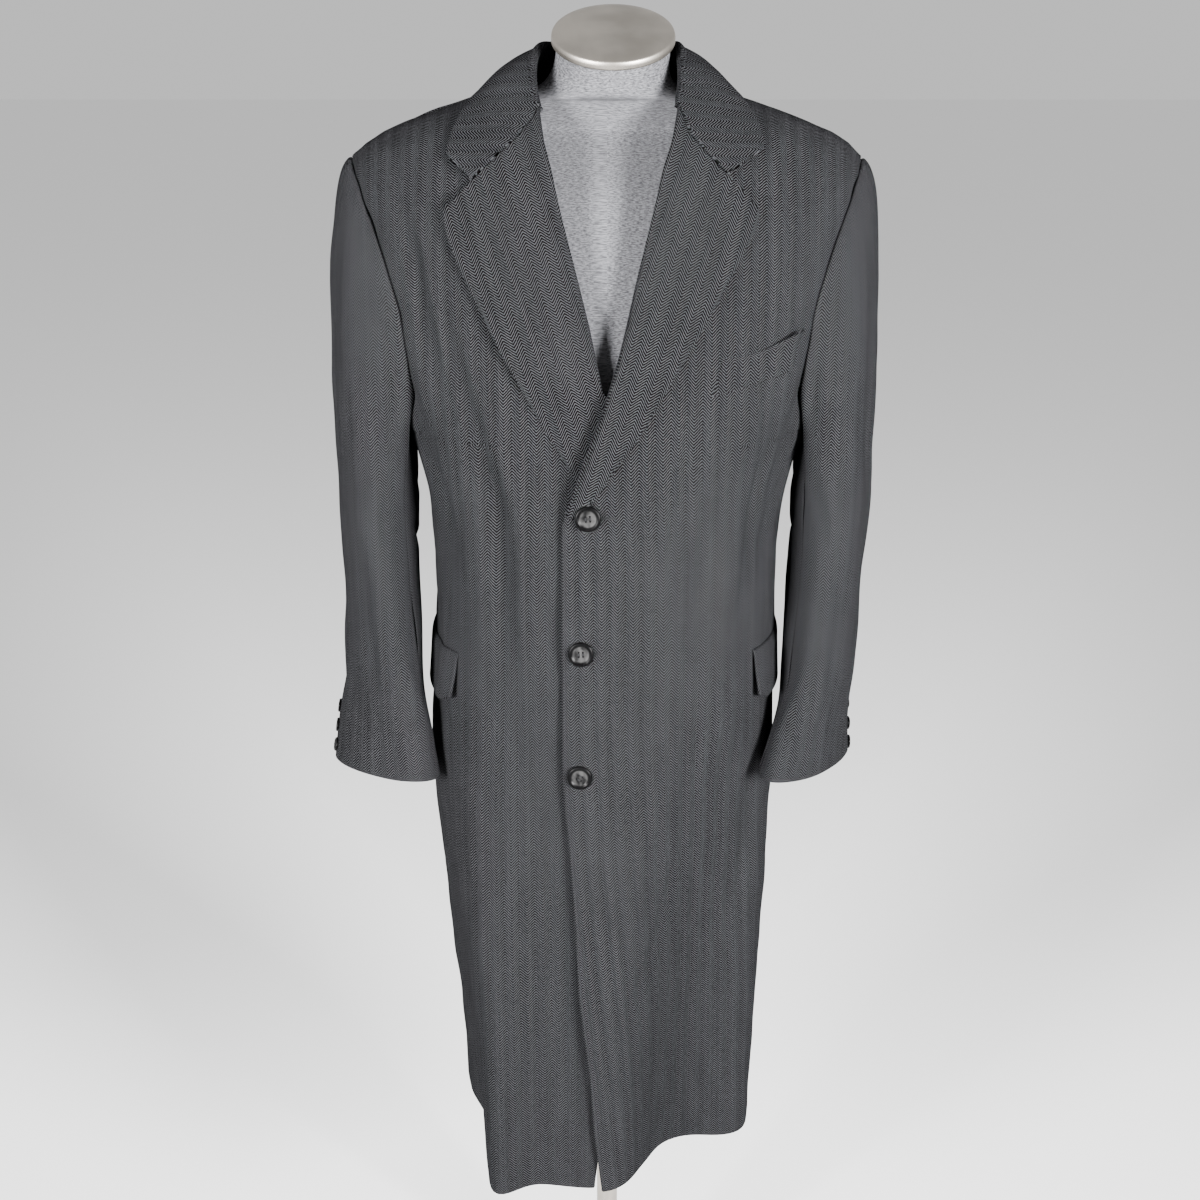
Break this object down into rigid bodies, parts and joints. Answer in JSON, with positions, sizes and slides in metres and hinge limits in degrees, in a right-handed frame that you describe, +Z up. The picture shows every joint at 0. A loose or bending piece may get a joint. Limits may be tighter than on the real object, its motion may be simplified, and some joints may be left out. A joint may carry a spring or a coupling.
{
  "type": "overcoat on a limbless dress form",
  "caption": "Long single-breasted herringbone overcoat with notch lapels, worn open at neck, cuffs and hem by a limbless dress form on a pole and round base.",
  "frame": {"origin": "on the floor, in the middle of the width of the coat and 10 mm in front of the pole's axis, inside the base's flat underside", "axes": "+Z up along the pole, the front of the coat faces -Y, +X to the wearer's left"},
  "size_m": [0.5723, 0.406, 1.5993],
  "materials": {
    "herringbone_wool": "napped wool, charcoal and grey herringbone",
    "grey_horn": "satin marbled horn",
    "heather_jersey": "heathered knit jersey",
    "brushed_metal": "round brushed, satin"
  },
  "bodies": {
    "root": {"front_left": "herringbone_wool", "front_right": "herringbone_wool", "back_left": "herringbone_wool", "back_right": "herringbone_wool", "lapel_left": "herringbone_wool", "lapel_right": "herringbone_wool", "collar": "herringbone_wool", "top_sleeve_left": "herringbone_wool", "top_sleeve_right": "herringbone_wool", "under_sleeve_left": "herringbone_wool", "under_sleeve_right": "herringbone_wool", "pocket_flap_left": "herringbone_wool", "pocket_flap_right": "herringbone_wool", "breast_welt": "herringbone_wool", "front_button_1": "grey_horn", "front_button_2": "grey_horn", "front_button_3": "grey_horn", "cuff_button_left_1": "grey_horn", "cuff_button_left_2": "grey_horn", "cuff_button_left_3": "grey_horn", "cuff_button_right_1": "grey_horn", "cuff_button_right_2": "grey_horn", "cuff_button_right_3": "grey_horn", "form_torso": "heather_jersey", "neck_cap": "brushed_metal", "form_pole": "brushed_metal", "form_base": "brushed_metal"}
  },
  "joints": []
}
